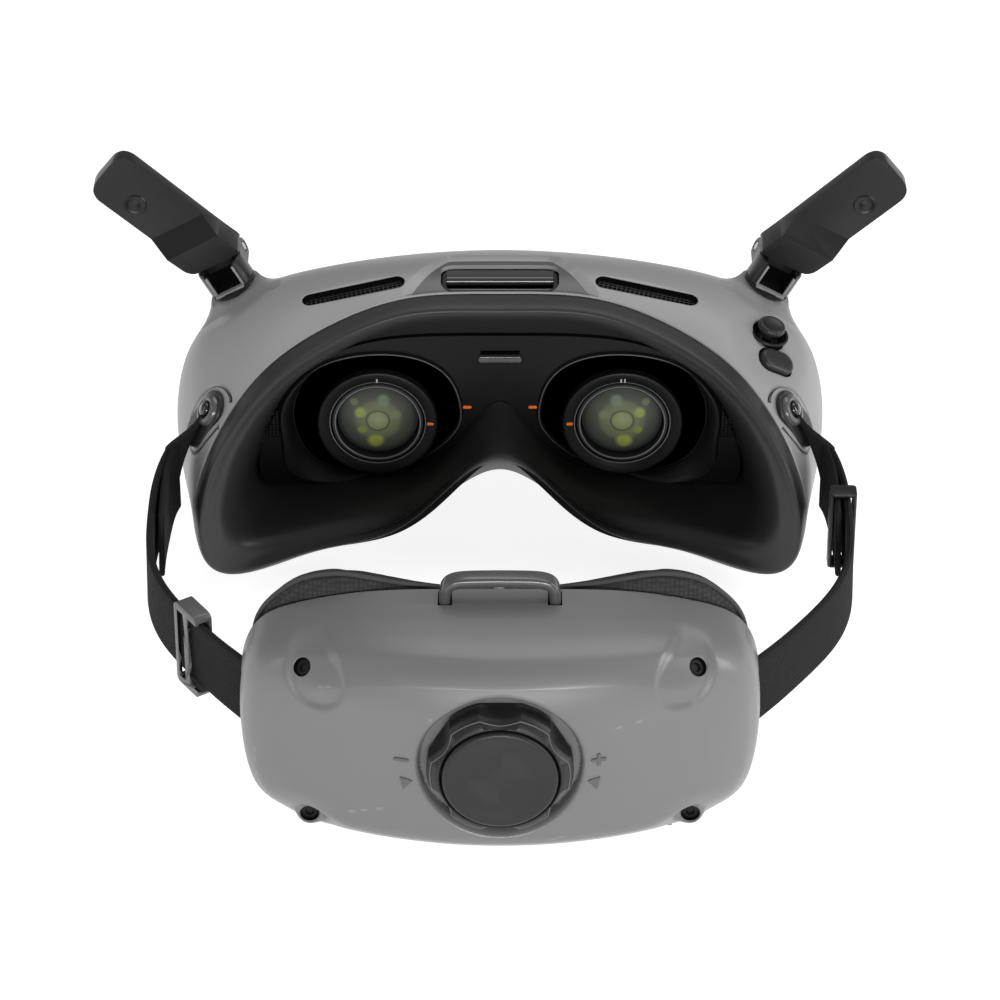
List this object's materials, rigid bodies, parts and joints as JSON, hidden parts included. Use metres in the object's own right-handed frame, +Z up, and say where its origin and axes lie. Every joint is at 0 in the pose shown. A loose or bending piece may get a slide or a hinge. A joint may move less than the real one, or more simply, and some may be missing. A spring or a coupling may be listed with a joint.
{
  "type": "fpv goggles",
  "caption": "Grey video goggles with a moulded face pad, focusing eyepieces, folding antennas, and a strap to a rear battery pack with a size knob.",
  "frame": {"origin": "centre of the footprint's bounding box, on the table", "axes": "+Y the way the wearer looks, +X to the wearer's right, +Z up"},
  "size_m": [0.215, 0.2194, 0.0977],
  "materials": {
    "grey_shell": "satin fine texture",
    "dark_plastic": "satin",
    "black_matte": "matte",
    "gloss_black": "polished",
    "soft_rubber": "matte",
    "webbing": "woven",
    "cushion_cloth": "soft",
    "lens_glass": "coated",
    "steel": "satin",
    "mid_grey": "satin",
    "circuit_board": "matte",
    "cell_wrap": "smooth",
    "aluminium": "satin"
  },
  "bodies": {
    "headset": {"main_housing": "grey_shell", "front_cover": "gloss_black", "face_pad": "soft_rubber", "eyepiece_plate": "black_matte", "memory_card_socket": "steel", "top_strap_bar": "dark_plastic", "right_vent_mesh": "black_matte", "left_vent_mesh": "black_matte", "main_board": "circuit_board", "heat_sink": "aluminium", "right_antenna_stub": "black_matte", "left_antenna_stub": "black_matte", "right_antenna_pin": "steel", "left_antenna_pin": "steel", "right_strap_anchor": "dark_plastic", "left_strap_anchor": "dark_plastic", "right_strap_pin": "gloss_black", "left_strap_pin": "gloss_black", "right_strap_front": "webbing", "left_strap_front": "webbing", "strap_keeper": "dark_plastic"},
    "fan": {"fan_rotor": "dark_plastic"},
    "right_eyepiece": {"right_eyepiece_barrel": "black_matte", "right_display_panel": "gloss_black"},
    "right_focus_cell": {"right_lens_cell": "dark_plastic", "right_lens": "lens_glass"},
    "right_focus_wheel": {"right_focus_wheel": "dark_plastic"},
    "right_antenna": {"right_antenna_blade": "dark_plastic", "right_antenna_cover": "dark_plastic"},
    "left_eyepiece": {"left_eyepiece_barrel": "black_matte", "left_display_panel": "gloss_black"},
    "left_focus_cell": {"left_lens_cell": "dark_plastic", "left_lens": "lens_glass"},
    "left_focus_wheel": {"left_focus_wheel": "dark_plastic"},
    "left_antenna": {"left_antenna_blade": "dark_plastic", "left_antenna_cover": "dark_plastic"},
    "joystick_rocker": {"joystick_rocker": "dark_plastic"},
    "joystick_stem": {"joystick_stem": "dark_plastic"},
    "joystick_cap": {"joystick_cap": "dark_plastic"},
    "back_button": {"back_button": "dark_plastic"},
    "rear_pack": {"pack_shell": "grey_shell", "pack_base": "dark_plastic", "head_cushion": "cushion_cloth", "pack_loop": "dark_plastic", "upper_battery_cell": "cell_wrap", "lower_battery_cell": "cell_wrap", "charge_board": "circuit_board", "right_upper_screw": "steel", "left_upper_screw": "steel", "right_lower_screw": "steel", "left_lower_screw": "steel", "right_strap_rear": "webbing", "left_strap_rear": "webbing"},
    "knob": {"size_knob": "dark_plastic", "knob_cap": "dark_plastic", "knob_pinion": "mid_grey"},
    "right_rack": {"right_band_rack": "mid_grey"},
    "left_rack": {"left_band_rack": "mid_grey"},
    "power_button": {"power_button": "dark_plastic"},
    "buckle": {"strap_buckle": "mid_grey"}
  },
  "joints": [
    {"name": "fan_spin", "type": "hinge", "parent": "headset", "child": "fan", "pos_m": [0.014, 0.09469, 0.03603], "axis": [0, 1, 0], "continuous": true},
    {"name": "right_pupil_distance", "type": "slide", "parent": "headset", "child": "right_eyepiece", "axis": [1, 0, 0], "range_m": [-0.003, 0.0035]},
    {"name": "right_focus_turn", "type": "hinge", "parent": "right_eyepiece", "child": "right_focus_wheel", "pos_m": [0.0325, 0.06369, 0.00243], "axis": [0, 0, 1], "range_deg": [-90, 150]},
    {"name": "right_focus_slide", "type": "slide", "parent": "right_eyepiece", "child": "right_focus_cell", "axis": [0, 1, 0], "range_m": [-0.00152, 0.00252]},
    {"name": "right_antenna_fold", "type": "hinge", "parent": "headset", "child": "right_antenna", "pos_m": [0.07375, 0.08249, 0.06514], "axis": [-0.8746, 0, 0.4848], "range_deg": [0, 172]},
    {"name": "left_pupil_distance", "type": "slide", "parent": "headset", "child": "left_eyepiece", "axis": [-1, 0, 0], "range_m": [-0.003, 0.0035]},
    {"name": "left_focus_turn", "type": "hinge", "parent": "left_eyepiece", "child": "left_focus_wheel", "pos_m": [-0.0325, 0.06369, 0.00243], "axis": [0, 0, 1], "range_deg": [-90, 150]},
    {"name": "left_focus_slide", "type": "slide", "parent": "left_eyepiece", "child": "left_focus_cell", "axis": [0, 1, 0], "range_m": [-0.00152, 0.00252]},
    {"name": "left_antenna_fold", "type": "hinge", "parent": "headset", "child": "left_antenna", "pos_m": [-0.07375, 0.08249, 0.06514], "axis": [-0.8746, 0, -0.4848], "range_deg": [0, 172]},
    {"name": "joystick_fore_aft", "type": "hinge", "parent": "headset", "child": "joystick_rocker", "pos_m": [0.06962, 0.0489, 0.05887], "axis": [0.9657, 0.0322, -0.2575], "range_deg": [-8, 8], "stiffness_Nm_per_rad": 0.05},
    {"name": "joystick_left_right", "type": "hinge", "parent": "joystick_rocker", "child": "joystick_stem", "pos_m": [0.06962, 0.0489, 0.05887], "axis": [0, 0.9923, 0.124], "range_deg": [-8, 8], "stiffness_Nm_per_rad": 0.05},
    {"name": "joystick_press", "type": "slide", "parent": "joystick_stem", "child": "joystick_cap", "axis": [-0.2595, 0.1198, -0.9583], "range_m": [0, 0.0005], "stiffness_N_per_m": 600},
    {"name": "back_button_press", "type": "slide", "parent": "headset", "child": "back_button", "axis": [-0.577, 0.352, -0.737], "range_m": [0, 0.0004], "stiffness_N_per_m": 600},
    {"name": "strap_length", "type": "slide", "parent": "headset", "child": "rear_pack", "axis": [0, 1, 0], "range_m": [-0.008, 0.012]},
    {"name": "knob_turn", "type": "hinge", "parent": "rear_pack", "child": "knob", "pos_m": [0, -0.09931, 0.03603], "axis": [0, 1, 0], "range_deg": [-95, 140]},
    {"name": "right_rack_slide", "type": "slide", "parent": "rear_pack", "child": "right_rack", "axis": [-1, 0, 0], "range_m": [-0.0081, 0.0121]},
    {"name": "left_rack_slide", "type": "slide", "parent": "rear_pack", "child": "left_rack", "axis": [1, 0, 0], "range_m": [-0.0081, 0.0121]},
    {"name": "power_button_press", "type": "slide", "parent": "rear_pack", "child": "power_button", "axis": [0, 0, 1], "range_m": [0, 0.0005], "stiffness_N_per_m": 600},
    {"name": "buckle_slide", "type": "slide", "parent": "rear_pack", "child": "buckle", "axis": [0.5611, -0.8278, 0], "range_m": [-0.004, 0.004]}
  ],
  "couplings": [
    {"joint": "right_focus_turn", "follows": "right_focus_slide", "rad_per_m": 1000},
    {"joint": "left_focus_turn", "follows": "left_focus_slide", "rad_per_m": 1000},
    {"joint": "knob_turn", "follows": "strap_length", "rad_per_m": 200},
    {"joint": "right_rack_slide", "follows": "strap_length", "ratio": 1},
    {"joint": "left_rack_slide", "follows": "strap_length", "ratio": 1}
  ]
}
